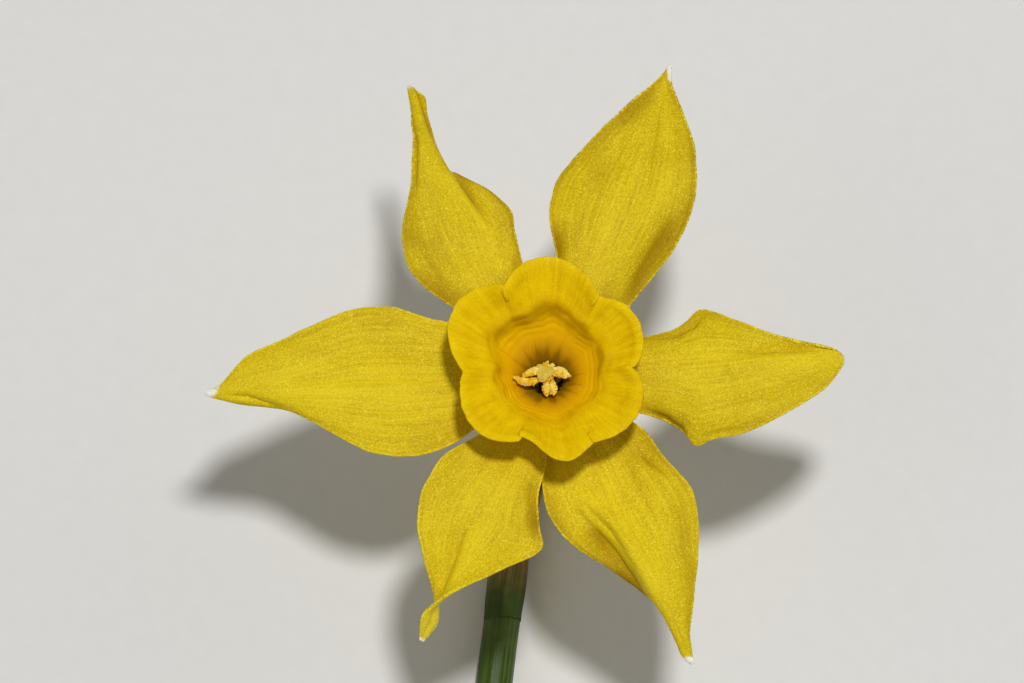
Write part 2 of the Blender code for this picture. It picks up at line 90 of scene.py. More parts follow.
# Each tepal by its stations from claw to tip, in its own frame: "along" is the distance from the
# flower's axis, "left", "rib" and "right" are places across it, and the three rises are heights
# over the level of its whorl. Folds are ridges (or creases, where the height is negative) that run
# through up to four places (along, across) of the tepal, with a height and how far each falls off to
# its left and its right. The mucro is the white point: the share of the length at which it starts,
# and how much sooner that is at the right edge than at the rib. The tone is painted shade over the
# whole tepal: how much darker its yellow is painted for the way the light falls across the flower.
TEPALS = {
    "outer_tepal_top": {
        "heading": 69.1,
        "level": OUTER_LEVEL,
        "tone": 0.3,
        "along": (2.2, 4.5, 6.8, 9.0, 11.2, 13.5, 15.8, 17.7, 18.9, 19.95),
        "left": (0.9, 1.4, 2.0, 3.3, 3.6, 2.9, 1.9, 1.02, 0.42, 0.05),
        "rib": (0.0, -0.3, -0.6, -0.8, -0.9, -0.8, -0.6, -0.25, -0.1, 0.0),
        "right": (-1.0, -2.4, -3.1, -3.75, -4.2, -3.95, -2.95, -1.45, -0.42, -0.05),
        "left_rise": (0.0, 0.1, 0.3, 0.3, 0.2, 0.3, 0.4, 0.2, 0.0, 0.0),
        "rib_rise": (0.0, 0.0, 0.2, 0.5, 0.6, 0.4, 0.1, -0.1, -0.1, 0.0),
        "right_rise": (0.0, -0.1, -0.4, -0.5, -0.1, 0.4, 0.5, 0.3, 0.1, 0.0),
        "folds": (
            (((4.6, -2.3), (7.4, -2.6), (9.6, -2.95), (12.6, -3.7)), -0.22, (0.4, 0.6)),
            (((18.4, -0.1), (16.3, -0.6), (14.6, -0.9), (12.0, -1.6)), -0.12, (0.3, 0.12)),
            (((18.6, 0.2), (16.8, 0.75), (14.4, 1.4)), -0.09, (0.5, 0.4)),
            (((4.6, 1.3), (6.8, 1.95), (9.6, 3.2)), -0.16, (0.3, 0.4)),
        ),
        "mucro": (0.93, 0.03),
    },
    "inner_tepal_right": {
        "heading": 4.2,
        "level": INNER_LEVEL,
        "tone": 0.1,
        "along": (2.2, 4.4, 6.3, 7.4, 8.1, 9.1, 11.0, 13.2, 15.3, 16.4, 16.87),
        "left": (0.9, 1.7, 2.05, 2.35, 2.75, 3.5, 2.6, 1.5, 0.72, 0.38, 0.0),
        "rib": (0.0, 0.0, 0.0, 0.0, 0.0, 0.0, 0.05, 0.1, 0.2, 0.05, -0.12),
        "right": (-0.9, -2.2, -2.8, -3.45, -4.4, -4.2, -4.0, -3.15, -2.05, -1.0, -0.25),
        "left_rise": (-0.6, -0.2, -0.4, -0.6, -0.7, -0.9, -0.5, -0.2, -0.15, -0.3, -0.4),
        "rib_rise": (-0.6, -0.1, 0.1, 0.0, 0.0, -0.1, -0.2, -0.3, -0.35, -0.35, -0.4),
        "right_rise": (-0.6, -0.3, -0.7, -0.9, -1.0, -0.7, -0.3, -0.1, -0.1, -0.3, -0.4),
        "folds": (
            (((5.0, -2.0), (6.6, -2.6), (7.4, -3.3), (7.8, -4.1)), -0.35, (0.14, 0.3)),
            (((9.2, 3.2), (8.6, 2.3), (7.6, 1.8), (5.6, 1.45)), -0.18, (0.22, 0.14)),
            (((9.2, 0.15), (12.1, 0.05), (14.2, 0.1), (16.6, 0.25)), 0.16, (0.2, 0.9)),
            (((9.6, 0.75), (12.1, 0.55), (13.9, 0.5), (16.4, 0.42)), -0.24, (0.4, 0.16)),
        ),
        "mucro": (0.972, 0.0),
    },
    "outer_tepal_bottom": {
        "heading": -63.7,
        "level": OUTER_LEVEL,
        "tone": 0.1,
        "along": (2.2, 4.6, 7.0, 9.3, 11.3, 13.2, 15.0, 16.8, 17.6, 18.35),
        "left": (1.0, 3.4, 3.9, 4.4, 3.9, 2.9, 1.75, 0.6, 0.32, 0.06),
        "rib": (0.0, -0.2, -0.5, -0.7, -0.4, -0.1, -0.05, -0.1, -0.1, 0.0),
        "right": (-1.0, -2.6, -3.4, -2.95, -1.7, -0.5, 0.15, -0.05, -0.22, -0.04),
        "left_rise": (0.0, 0.0, 0.3, 0.5, 0.55, 0.5, 0.4, 0.15, 0.0, 0.0),
        "rib_rise": (0.0, 0.0, 0.1, 0.3, 0.6, 0.8, 0.7, 0.4, 0.1, 0.0),
        "right_rise": (0.0, 0.0, 0.0, 0.05, 0.15, 0.0, -0.3, -0.4, -0.2, 0.0),
        "folds": (
            (((6.2, -1.5), (9.5, -0.45), (12.0, -0.32), (15.2, -0.2)), 0.46, (0.9, 0.14)),
            (((6.4, -2.2), (10.2, -0.98), (12.6, -0.66), (16.2, -0.3)), -0.5, (0.14, 1.1)),
            (((5.6, -1.0), (7.4, -0.6), (9.6, 0.1)), -0.07, (0.1, 0.1)),
            (((6.0, 2.6), (7.3, 3.1), (8.4, 3.6)), -0.2, (0.2, 0.2)),
            (((15.4, 0.2), (16.8, 0.05), (18.2, 0.0)), -0.14, (0.12, 0.3)),
        ),
        "mucro": (0.925, 0.02),
    },
    "inner_tepal_bottom": {
        "heading": -114.1,
        "level": INNER_LEVEL,
        "tone": 0.0,
        "along": (2.2, 4.6, 6.6, 8.2, 9.3, 11.2, 13.0, 14.4, 15.5, 16.85),
        "left": (0.9, 2.0, 2.4, 3.2, 3.75, 2.4, 0.95, -0.1, -0.72, -0.3),
        "rib": (0.0, -0.1, -0.3, -0.5, -0.55, -0.5, -0.35, -0.25, -0.27, -0.18),
        "right": (-0.9, -2.1, -3.45, -3.65, -3.65, -2.95, -1.6, -0.4, 0.2, -0.05),
        "left_rise": (-0.6, -0.1, 0.2, 0.0, -0.2, 0.2, 0.6, 0.6, 0.2, 0.0),
        "rib_rise": (-0.6, -0.1, 0.1, 0.0, -0.1, -0.1, 0.0, 0.0, 0.0, 0.0),
        "right_rise": (-0.6, -0.1, 0.0, 0.0, 0.1, 0.3, 0.2, -0.5, -0.2, 0.0),
        "folds": (
            (((15.0, 0.1), (13.0, 0.05), (11.4, -0.02), (9.0, -0.4)), 0.12, (0.9, 0.2)),
            (((15.0, -0.12), (13.0, -0.3), (11.4, -0.42), (9.0, -0.9)), -0.26, (0.22, 0.7)),
            (((4.6, 1.3), (6.6, 1.9), (8.0, 2.75), (9.6, 3.6)), -0.24, (0.4, 0.45)),
            (((14.7, -0.35), (15.6, -0.25), (16.9, -0.25)), -0.18, (0.1, 0.1)),
        ),
        "mucro": (0.985, 0.0),
    },
    "outer_tepal_left": {
        "heading": 182.4,
        "level": OUTER_LEVEL,
        "tone": -0.1,
        "along": (2.2, 4.6, 6.6, 8.6, 10.6, 12.6, 14.8, 17.0, 18.4, 19.4),
        "left": (1.0, 3.0, 4.0, 4.2, 3.65, 2.4, 1.0, 0.55, 0.3, 0.05),
        "rib": (0.0, 0.0, 0.0, 0.0, -0.1, 0.0, 0.1, 0.15, 0.1, 0.0),
        "right": (-1.0, -3.2, -3.85, -4.5, -4.5, -3.85, -2.9, -1.95, -0.5, -0.05),
        "left_rise": (0.0, 0.0, 0.2, 0.3, 0.2, 0.0, -0.3, -0.45, -0.2, 0.1),
        "rib_rise": (0.0, 0.0, 0.0, 0.1, 0.2, 0.3, 0.3, 0.2, 0.1, 0.1),
        "right_rise": (0.0, 0.1, 0.2, 0.4, 0.5, 0.5, 0.4, 0.3, 0.2, 0.1),
        "folds": (
            (((5.0, 0.2), (11.0, 0.15), (17.4, 0.2)), 0.16, (0.7, 0.4)),
            (((18.7, 0.1), (17.0, 0.2), (15.6, 0.65), (13.9, 1.3)), -0.26, (0.2, 0.1)),
            (((5.5, -1.7), (10.5, -1.5), (14.4, -1.3)), -0.12, (0.3, 0.7)),
        ),
        "mucro": (0.925, 0.03),
    },
    "inner_tepal_top": {
        "heading": 114.8,
        "level": INNER_LEVEL,
        "tone": 0.35,
        "along": (2.2, 4.6, 6.6, 8.4, 9.8, 11.4, 12.8, 13.3, 15.2, 16.8, 17.8, 18.8),
        "left": (0.9, 2.2, 3.6, 4.35, 4.4, 3.75, 2.75, 2.4, 1.38, 0.72, 0.37, 0.05),
        "rib": (0.0, 0.1, 0.2, 0.0, -0.1, 0.1, 0.5, 0.75, 0.55, 0.2, -0.05, 0.0),
        "right": (-0.9, -1.5, -1.55, -1.9, -2.2, -1.5, -0.4, 0.02, 0.02, -0.28, -0.56, -0.05),
        "left_rise": (-0.6, -0.1, 0.0, 0.0, 0.1, 0.2, 0.4, 0.45, 0.6, 0.55, 0.4, 0.2),
        "rib_rise": (-0.6, -0.1, 0.1, 0.1, 0.3, 0.5, 0.6, 0.65, 0.6, 0.5, 0.3, 0.2),
        "right_rise": (-0.6, -0.1, -0.3, -0.1, 0.0, 0.1, 0.1, 0.1, 0.0, 0.1, 0.3, 0.2),
        "folds": (
            (((13.8, 0.3), (12.0, 0.1), (10.7, -0.1), (8.6, -0.6)), 0.26, (0.8, 0.14)),
            (((13.8, 0.05), (12.0, -0.2), (10.6, -0.48), (8.4, -1.05)), -0.3, (0.14, 0.5)),
            (((16.6, 0.62), (15.4, 0.95), (14.2, 1.5), (12.4, 2.45)), -0.24, (0.16, 0.1)),
            (((19.2, -0.3), (17.9, -0.22), (16.6, 0.02), (14.8, 0.3)), -0.3, (0.1, 0.12)),
            (((7.6, -1.3), (6.4, -1.0), (5.0, -0.8)), -0.16, (0.2, 0.2)),
        ),
        "mucro": (0.98, 0.0),
    },
}
TEPAL_ROWS, TEPAL_COLUMNS = 180, 96
FULL_BREADTH = 8.0  # a tepal this broad has its veins at full strength
# The small relief of every tepal: the height of its swells, the waves of its margin, its veins, and
# how far its margin ripples to the side
SWELL, MARGIN_WAVE, VEIN, RIPPLE = 0.09, 0.1, 0.01, 0.05
VEIN_TURNS = 42  # radians of vein waves from the rib to an edge
MARGIN_LINE = (0.05, 0.12)  # how far inside the edge the pale margin starts and has ended
CREASE_SHADE = 0.42  # depth at which a crease has its full painted shade
# How much deeper the colour is at the claw and towards the edges, how bright the painted highlight
# along the rib is, and how much the colour drifts at random
CLAW_SHADE, EDGE_SHADE, RIB_PAINTED_HIGHLIGHT, DRIFT_SHADE = 0.12, 0.25, 0.45, 0.4

# The corona's middle surface from its neck to its rim, as evenly spaced (radius, height): a narrow
# throat, a shelf round it, a wall that climbs to a six-cornered ring, and the lobes, which lie back
CORONA_PROFILE = (
    (1.45, 19.3), (1.02, 19.75), (1.06, 20.3), (1.58, 20.75), (2.2, 21.1), (2.75, 21.55),
    (3.2, 22.2), (3.7, 22.75), (4.3, 23.2), (4.95, 23.7), (5.6, 24.2),
)
RING_DEPTH = 0.6
RING_RADIUS = 3.15
RING_SOFTNESS = 9.0  # degrees over which its corners are rounded
# The ring's corners, each as (angle, radius)
RING_CORNERS = ((18.0, 3.2), (84.0, 3.5), (150.5, 3.6), (216.5, 3.1), (273.5, 3.6), (330.0, 3.35))
# The lobes, each as (angle of its first notch, radius there, share of the lobe at its furthest
# point, reach, how slowly it swells, how slowly it falls, lap): the lap is how far the two edges at
# the notch pass each other in degrees, and it is positive where the lobe before the notch is on top
CORONA_LOBES = (
    (-5.6, 4.6, 0.52, 5.6, 0.45, 0.8, 0.0),
    (52.5, 4.4, 0.56, 5.97, 0.7, 0.75, -2.7),
    (121.6, 4.5, 0.42, 6.03, 0.5, 1.1, -2.8),
    (188.5, 4.78, 0.62, 5.72, 1.0, 0.6, 0.0),
    (250.6, 4.64, 0.64, 5.98, 2.5, 1.3, 2.8),
    (299.0, 5.34, 0.46, 5.98, 0.8, 0.6, -2.4),
)
LAP_WIDTH = 2.2  # degrees over which an edge turns under its neighbour
LAP_LIFT = 0.06
NECK_LEAN = 0.15  # how far the neck stands towards the stem
RADIAL_CREASE = 155.5  # degrees: one crease runs from the ring down to the throat
CORONA_ROUND, CORONA_ROWS = 500, 96


def vector(x, y, z):
    """A point given in millimetres in the flower's own frame, in metres where the flower lies."""
    return Vector((AXIS_X + x * MM, AXIS_Y + y * MM, z * MM))


def through(values, share):
    """The value at a share, 0 to 1, of the way along a smooth curve through evenly spaced values."""
    place = share * (len(values) - 1)
    i = min(int(place), len(values) - 2)
    u = place - i
    before, start = values[max(i - 1, 0)], values[i]
    end, after = values[i + 1], values[min(i + 2, len(values) - 1)]
    slope_in, slope_out = (end - before) / 2, (after - start) / 2
    return (
        start * (1 - 3 * u * u + 2 * u**3)
        + end * (3 * u * u - 2 * u**3)
        + slope_in * (u - 2 * u * u + u**3)
        + slope_out * (u**3 - u * u)
    )


def ease(low, high, value):
    """0 below low, 1 above high, and a smooth step between."""
    t = min(max((value - low) / (high - low), 0.0), 1.0)
    return t * t * (3 - 2 * t)


def bump(off, width):
    """1 where off is 0, falling away smoothly to about a third at the width."""
    return math.exp(-((off / width) ** 2))


def bowed(left, middle, right, across):
    """The value on a curve through right (across -1), middle (across 0) and left (across 1)."""
    return middle + across * (left - right) / 2 + across * across * ((left + right) / 2 - middle)


def wander(x, y, seed, size):
    """A smooth random height, -1 to 1: the seed picks the pattern, and size is how broad a bump is."""
    return noise.noise(Vector((x / size, y / size, seed * 7.3)))


def deselect():
    bpy.ops.object.select_all(action="DESELECT")


def active(name):
    """Names the piece that an operator has just made."""
    obj = bpy.context.active_object
    obj.name = name
    obj.data.name = name
    return obj


def modify(obj, kind, **settings):
    """Adds a modifier to a piece and applies it."""
    bpy.context.view_layer.objects.active = obj
    made = obj.modifiers.new("step", kind)
    for key, value in settings.items():
        setattr(made, key, value)
    bpy.ops.object.modifier_apply(modifier=made.name)


def edit_all(obj, *steps):
    """Runs edit-mode operators, each (operator, settings), on the whole of a piece."""
    deselect()
    obj.select_set(True)
    bpy.context.view_layer.objects.active = obj
    bpy.ops.object.mode_set(mode="EDIT")
    bpy.ops.mesh.select_all(action="SELECT")
    for operator, settings in steps:
        operator(**settings)
    bpy.ops.object.mode_set(mode="OBJECT")


# Steps that leave only the open edges of a piece selected
OPEN_EDGES = (
    (bpy.ops.mesh.select_mode, {"type": "EDGE"}),
    (bpy.ops.mesh.select_all, {"action": "DESELECT"}),
    (bpy.ops.mesh.select_non_manifold, {}),
)


def face_out(obj):
    edit_all(obj, (bpy.ops.mesh.normals_make_consistent, {"inside": False}))


def smooth(obj):
    obj.data.shade_smooth()


def sheet(name, rows, columns, place):
    """A grid whose points are placed by the share along it, 0 to 1, and the way across it, -1 to 1."""
    deselect()
    bpy.ops.mesh.primitive_grid_add(x_subdivisions=rows, y_subdivisions=columns, size=2.0)
    obj = active(name)
    for vert in obj.data.vertices:
        vert.co = place((vert.co.x + 1) / 2, vert.co.y)
    return obj


def weld(obj):
    edit_all(obj, (bpy.ops.mesh.remove_doubles, {"threshold": MERGE}))


def thicken(obj, wall, shares, **settings):
    """Gives a sheet a wall in millimetres, of which each of its points keeps a share."""
    group = obj.vertex_groups.new(name="wall")
    for vert in obj.data.vertices:
        group.add([vert.index], shares[vert.index], "REPLACE")
    modify(obj, "SOLIDIFY", thickness=wall * MM, offset=0.0, vertex_group=group.name, **settings)


def attribute(obj, name, values):
    """Stores a number for each point of a piece, for its material to read."""
    layer = obj.data.attributes.new(name, "FLOAT", "POINT")
    layer.data.foreach_set("value", values)


def keep(obj, slot, node, *finishes):
    """Gives a finished piece its finishes, makes it ride with the root, and hides the part it
    replaces; slot, what it stands for, is not used.
    """
    for finish in finishes:
        obj.data.materials.append(finish)
    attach(obj, "root")
    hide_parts(node)


# ---------------- materials


def srgb(red, green, blue):
    """A screen colour, 0 to 255, as the linear colour that a shader takes."""
    def linear(value):
        value /= 255
        return value / 12.92 if value <= 0.04045 else ((value + 0.055) / 1.055) ** 2.4

    return (linear(red), linear(green), linear(blue), 1.0)


# How many bumps to a metre the patterns of petal skin have
CELL_SCALE, GRAIN_SCALE, CLOUD_SCALE = 15000.0, 11000.0, 700.0


class Finish:
    """A material with a Principled shader, and short ways to add and join its nodes."""

    def __init__(self, name, **settings):
        self.material = bpy.data.materials.new(name)
        self.material.use_nodes = True
        self.tree = self.material.node_tree
        self.shader = self.tree.nodes["Principled BSDF"]
        for socket, value in settings.items():
            self.shader.inputs[socket.replace("_", " ")].default_value = value

    def add(self, kind, inputs=None, **settings):
        made = self.tree.nodes.new("ShaderNode" + kind)
        for key, value in settings.items():
            setattr(made, key, value)
        for key, value in (inputs or {}).items():
            self.put(made.inputs[key], value)
        return made

    def put(self, socket, value):
        if isinstance(value, bpy.types.NodeSocket):
            self.tree.links.new(value, socket)
        else:
            socket.default_value = value

    def coordinates(self, kind="Object", scale=(1.0, 1.0, 1.0)):
        source = self.add("TexCoord").outputs[kind]
        return self.add("Mapping", {"Vector": source, "Scale": scale}).outputs["Vector"]

    def noise(self, vector, scale, detail=3.0, roughness=0.5):
        settings = {"Vector": vector, "Scale": scale, "Detail": detail, "Roughness": roughness}
        return self.add("TexNoise", settings).outputs["Fac"]

    def cells(self, vector, scale, output):
        return self.add("TexVoronoi", {"Vector": vector, "Scale": scale}).outputs[output]

    def math(self, operation, first, second=0.0, third=0.0):
        made = self.add("Math", operation=operation)
        for socket, value in zip(made.inputs, (first, second, third)):
            self.put(socket, value)
        return made.outputs[0]

    def span(self, value, low, high, to_low=0.0, to_high=1.0):
        names = ("Value", "From Min", "From Max", "To Min", "To Max")
        inputs = dict(zip(names, (value, low, high, to_low, to_high)))
        return self.add("MapRange", inputs, interpolation_type="SMOOTHSTEP").outputs["Result"]

    def mix(self, share, first, second, blend="MIX"):
        made = self.add("Mix", data_type="RGBA", blend_type=blend)
        self.put(made.inputs[0], share)
        self.put(made.inputs[6], first)
        self.put(made.inputs[7], second)
        return made.outputs[2]

    def ramp(self, value, *stops):
        made = self.add("ValToRGB", {"Fac": value})
        elements = made.color_ramp.elements
        while len(elements) < len(stops):
            elements.new(0.5)
        for element, (place, colour) in zip(elements, stops):
            element.position = place
            element.color = colour
        return made.outputs["Color"]

    def number(self, name):
        return self.add("Attribute", attribute_name=name).outputs["Fac"]

    def colour(self, value):
        self.put(self.shader.inputs["Base Color"], value)

    def roughness(self, value):
        self.put(self.shader.inputs["Roughness"], value)

    def relief(self, *layers):
        """Bumps, each (height, depth in metres, strength), one on top of the other."""
        normal = None
        for height, depth, strength in layers:
            inputs = {"Height": height, "Distance": depth, "Strength": strength}
            if normal is not None:
                inputs["Normal"] = normal
            normal = self.add("Bump", inputs).outputs["Normal"]
        self.put(self.shader.inputs["Normal"], normal)


def petal_skin(name, bright, deep, painted_glint_colour, streak_scale, painted_glint_share, grained):
    """Petal skin: soft lengthwise veins, a fine grain of round cells, a few cells painted bright as
    glints, and painted shade read from an attribute.
    """
    skin = Finish(name, Subsurface_Weight=0.08, Subsurface_Scale=0.0002, Specular_IOR_Level=0.05)
    skin.shader.inputs["Subsurface Radius"].default_value = (1.0, 0.7, 0.05)
    along = skin.coordinates("UV", streak_scale)
    place = skin.coordinates("Object")
    veins = skin.math("SUBTRACT", skin.noise(along, 1.0, 5.0, 0.7), 0.5)
    veins = skin.math("MULTIPLY", veins, skin.number("breadth"))
    grain = skin.math("SUBTRACT", skin.noise(place, GRAIN_SCALE, 3.0, 0.7), 0.5)
    clouds = skin.math("SUBTRACT", skin.noise(place, CLOUD_SCALE, 4.0, 0.6), 0.5)
    luck = skin.add("SeparateColor", {"Color": skin.cells(place, CELL_SCALE, "Color")}).outputs
    tone = skin.math("MULTIPLY_ADD", veins, 1.5, 0.5)
    tone = skin.math("MULTIPLY_ADD", clouds, 0.35, tone)
    tone = skin.math("MULTIPLY_ADD", grain, 1.3 * grained, tone)
    tone = skin.math("MULTIPLY_ADD", luck["Green"], 0.25 * grained, tone)
    # painted shade from the shade attribute darkens the tone, and its negative part, the painted rib
    # highlight, brightens it
    tone = skin.math("MULTIPLY_ADD", skin.number("shade"), -0.3, tone)
    base = skin.mix(skin.span(tone, 0.1, 1.1), deep, bright)
    # painted glints: a few random cells are painted bright, as if catching the light
    dome = skin.cells(place, CELL_SCALE, "Distance")
    painted_glints = skin.span(luck["Red"], 1 - painted_glint_share, 1.05)
    painted_glints = skin.math("MULTIPLY", painted_glints, skin.span(dome, 0.8, 0.2))
    skin.colour_sum = skin.mix(painted_glints, base, painted_glint_colour)
    skin.roughness(skin.span(grain, -0.2, 0.2, 0.42, 0.62))
    skin.relief((veins, 0.00005, 0.35), (grain, 0.00002, 0.4 * grained), (dome, 0.00001, 0.3))
    return skin


def tepal_skin(name, bright, deep):
    """Both faces of a tepal: painted shade in the creases, a margin painted as a paler line of glints,
    and a white tip.
    """
    skin = petal_skin(name, bright, deep, srgb(254, 238, 72), (2.2, 34.0, 1.0), 0.26, 1.0)
    place = skin.coordinates("Object")
    # painted shade: where the shade attribute is high, in deep creases and on tepals painted darker as
    # a whole, the colour is painted deep brownish gold
    crease = skin.span(skin.number("shade"), 0.1, 1.1, 0.0, 0.8)
    skin.colour_sum = skin.mix(crease, skin.colour_sum, srgb(150, 112, 1))
    # painted glints: a crumbling line along the margin is painted pale yellow, as if the edge glitters
    # in the light
    margin_glint_mask = skin.number("margin_glint_mask")
    crumbs = skin.span(skin.noise(place, 7000.0, 3.0, 0.8), 0.45, 0.58)
    margin_glints = skin.math("MULTIPLY", margin_glint_mask, crumbs)
    skin.colour_sum = skin.mix(margin_glints, skin.colour_sum, srgb(250, 230, 60))
    speckle = skin.span(skin.noise(place, 3600.0, 3.0, 0.7), 0.3, 0.6)
    white = skin.mix(speckle, srgb(222, 212, 170), srgb(250, 248, 236))
    skin.colour(skin.mix(skin.number("mucro"), skin.colour_sum, white))
    return skin.material


def corona_finish():
    """Deeper yellow than the tepals and orange in the bowl; the throat's brown is partly its own
    colour and partly painted shade deep in the cup, and the ring has a band of painted shade.
    """
    bright, deep, painted_glint_colour = srgb(250, 215, 8), srgb(222, 178, 1), srgb(255, 238, 44)
    skin = petal_skin("corona_skin", bright, deep, painted_glint_colour, (95.0, 1.6, 1.0), 0.2, 0.45)
    depth = skin.number("depth")
    # the throat's brown, darkest at the neck, is partly its own colour and partly painted shade deep
    # in the cup
    bowl_and_painted_throat_shade = skin.ramp(
        depth,
        (0.0, srgb(96, 62, 4)),
        (0.16, srgb(108, 70, 3)),
        (0.27, srgb(126, 86, 3)),
        (0.34, srgb(194, 140, 3)),
        (0.41, srgb(226, 170, 3)),
        (0.5, srgb(236, 184, 4)),
        (0.6, srgb(238, 192, 4)),
        (1.0, srgb(244, 206, 5)),
    )
    outer = skin.span(depth, 0.35, 0.8, 0.1, 0.85)
    base = skin.mix(outer, bowl_and_painted_throat_shade, skin.colour_sum)
    # painted shade: the shaded band at the ring is painted deep brown-orange
    crease = skin.span(skin.number("shade"), 0.1, 1.1, 0.0, 0.6)
    skin.colour(skin.mix(crease, base, srgb(150, 102, 1)))
    return skin.material


# painted shade: these greens are darker than a living stem's, for the shade it lies in under the
# flower
STEM_GREENS_PAINTED_DARK = (srgb(52, 70, 22), srgb(74, 92, 36))


def plant_skin(name, bright, deep, pale, stretch, roughness=0.4):
    """Smooth green plant skin: fine lengthwise ribs, small pale dots and a waxy bloom."""
    skin = Finish(name, Roughness=roughness, Specular_IOR_Level=0.2)
    along = skin.coordinates("UV", stretch)
    place = skin.coordinates("Object")
    ribs = skin.noise(along, 1.0, 3.0, 0.55)
    bloom = skin.noise(place, 260.0, 4.0, 0.6)
    dots = skin.noise(place, 5200.0, 2.0, 0.6)
    base = skin.mix(skin.span(ribs, 0.3, 0.7), deep, bright)
    base = skin.mix(skin.span(bloom, 0.45, 0.75, 0.0, 0.45), base, pale)
    base = skin.mix(skin.span(dots, 0.55, 0.75, 0.0, 0.25), base, pale)
    skin.colour_sum = base
    skin.colour(base)
    skin.roughness(skin.span(bloom, 0.3, 0.7, roughness - 0.06, roughness + 0.14))
    skin.relief((ribs, 0.00005, 0.4), (dots, 0.000015, 0.4))
    return skin


# ---------------- tepals


def fold_height(folds, along, aside):
    """The height that a tepal's ridges and creases add at a place on it."""
    total = 0.0
    for line, height, widths in folds:
        nearest, share, side = 1e9, 0.0, 0.0
        for i, ((start_x, start_y), (end_x, end_y)) in enumerate(zip(line, line[1:])):
            run_x, run_y = end_x - start_x, end_y - start_y
            part = ((along - start_x) * run_x + (aside - start_y) * run_y) / (run_x**2 + run_y**2)
            part = min(max(part, 0.0), 1.0)
            off_x, off_y = along - start_x - part * run_x, aside - start_y - part * run_y
            off = math.hypot(off_x, off_y)
            if off < nearest:
                nearest, share, side = off, (i + part) / (len(line) - 1), off_y
        ends = ease(0.0, 0.35, share) * (1 - ease(0.65, 1.0, share))
        width = widths[0] if side > 0 else widths[1]
        total += height * ends * bump(nearest, width)
    return total


def tepal_breadth(shape, share):
    """How broad a tepal is at a station, as a share of the full breadth."""
    left, right = through(shape["left"], share), through(shape["right"], share)
    return min(abs(left - right) / FULL_BREADTH, 1.0)


def tepal_place(shape, share, across):
    """How far along a tepal a place is, and how far to the left of its middle line."""
    along, left, rib, right = (through(shape[key], share) for key in ("along", "left", "rib", "right"))
    return along, bowed(left, rib, right, across)


def tepal_point(shape, seed, share, across):
    """A point of a tepal: across is -1 at its right edge, 0 at its rib and 1 at its left edge."""
    along, aside = tepal_place(shape, share, across)
    rises = (through(shape[key], share) for key in ("left_rise", "rib_rise", "right_rise"))
    rise = bowed(*rises, across)
    bow = across * across
    free = ease(6.0, 9.0, along)  # the claw is held still under the corona
    rise += fold_height(shape["folds"], along, aside)
    rise += free * SWELL * wander(along, aside * 1.6, seed, 3.2)
    rise += free * bow**3 * MARGIN_WAVE * wander(along, aside, seed + 3, 1.1)
    vein = math.cos(across * VEIN_TURNS + 3 * wander(along, aside, seed + 5, 6.0))
    rise += VEIN * tepal_breadth(shape, share) ** 2 * vein
    ripple = RIPPLE * free * bow * across * wander(along, across, seed + 8, 0.9)
    aside += ripple * (1 - ease(0.9, 1.0, share))
    turn = math.radians(shape["heading"])
    return vector(
        along * math.cos(turn) - aside * math.sin(turn),
        along * math.sin(turn) + aside * math.cos(turn),
        shape["level"] + rise,
    )


def tepal_margin(shape, share, across):
    """1 along a tepal's two edges and 0 inside the margin line."""
    _, aside = tepal_place(shape, share, across)
    if across > 0:
        inside = through(shape["left"], share) - aside
    else:
        inside = aside - through(shape["right"], share)
    return (1 - ease(*MARGIN_LINE, inside)) * ease(0.8, 0.9, abs(across))


def tepal_painted_shade(shape, seed, share, across):
    """How deep the colour is painted at a place: painted shade in creases and over the whole tepal,
    deeper at the claw and edges, a painted highlight along the rib, and a random drift.
    """
    along, aside = tepal_place(shape, share, across)
    bow = across * across
    # painted shade: the deeper a crease, the darker it is painted
    crease = -fold_height(shape["folds"], along, aside) / CREASE_SHADE
    claw = 1 - ease(4.0, 8.0, along)
    # painted highlight: brighter down the middle, along the rib
    rib_highlight = (1 - bow) ** 2 * ease(5.0, 8.0, along) * (1 - ease(0.8, 1.0, share))
    drift = wander(along, aside * 2, seed + 31, 2.6)
    # the tepal's tone is painted shade for how the light falls across the flower
    shade = shape["tone"] + CLAW_SHADE * claw - RIB_PAINTED_HIGHLIGHT * rib_highlight
    shade += EDGE_SHADE * bow**2 + DRIFT_SHADE * drift
    return shade + max(min(crease, 1.0), -0.4)


def make_tepal(name, shape, seed, finishes):
    places = []

    def place(share, across):
        places.append((share, across))
        return tepal_point(shape, seed, share, across)

    obj = sheet(name, TEPAL_ROWS, TEPAL_COLUMNS, place)
    tip, tilt = shape["mucro"]
    soft = 0.012
    attribute(obj, "mucro", [ease(tip - soft, tip + soft, s - tilt * a) for s, a in places])
    attribute(obj, "shade", [tepal_painted_shade(shape, seed, *there) for there in places])
    attribute(obj, "breadth", [tepal_breadth(shape, share) for share, _ in places])
    attribute(obj, "margin_glint_mask", [tepal_margin(shape, *there) for there in places])
    for finish in finishes:
        obj.data.materials.append(finish)

    thinned = (max(ease(0.75, 1.0, abs(across)), ease(0.96, 1.0, share)) for share, across in places)
    walls = [1 - (1 - TEPAL_EDGE) * thin for thin in thinned]
    thicken(obj, TEPAL_THICKNESS, walls, material_offset=1)
    smooth(obj)
    keep(obj, "tepal", name)


def make_tepals():
    face = tepal_skin("tepal_skin", srgb(238, 211, 32), srgb(190, 158, 8))
    back = tepal_skin("tepal_back", srgb(232, 212, 58), srgb(198, 172, 26))
    for seed, (name, shape) in enumerate(TEPALS.items()):
        make_tepal(name, shape, seed + 1, (face, back))


# ---------------- corona


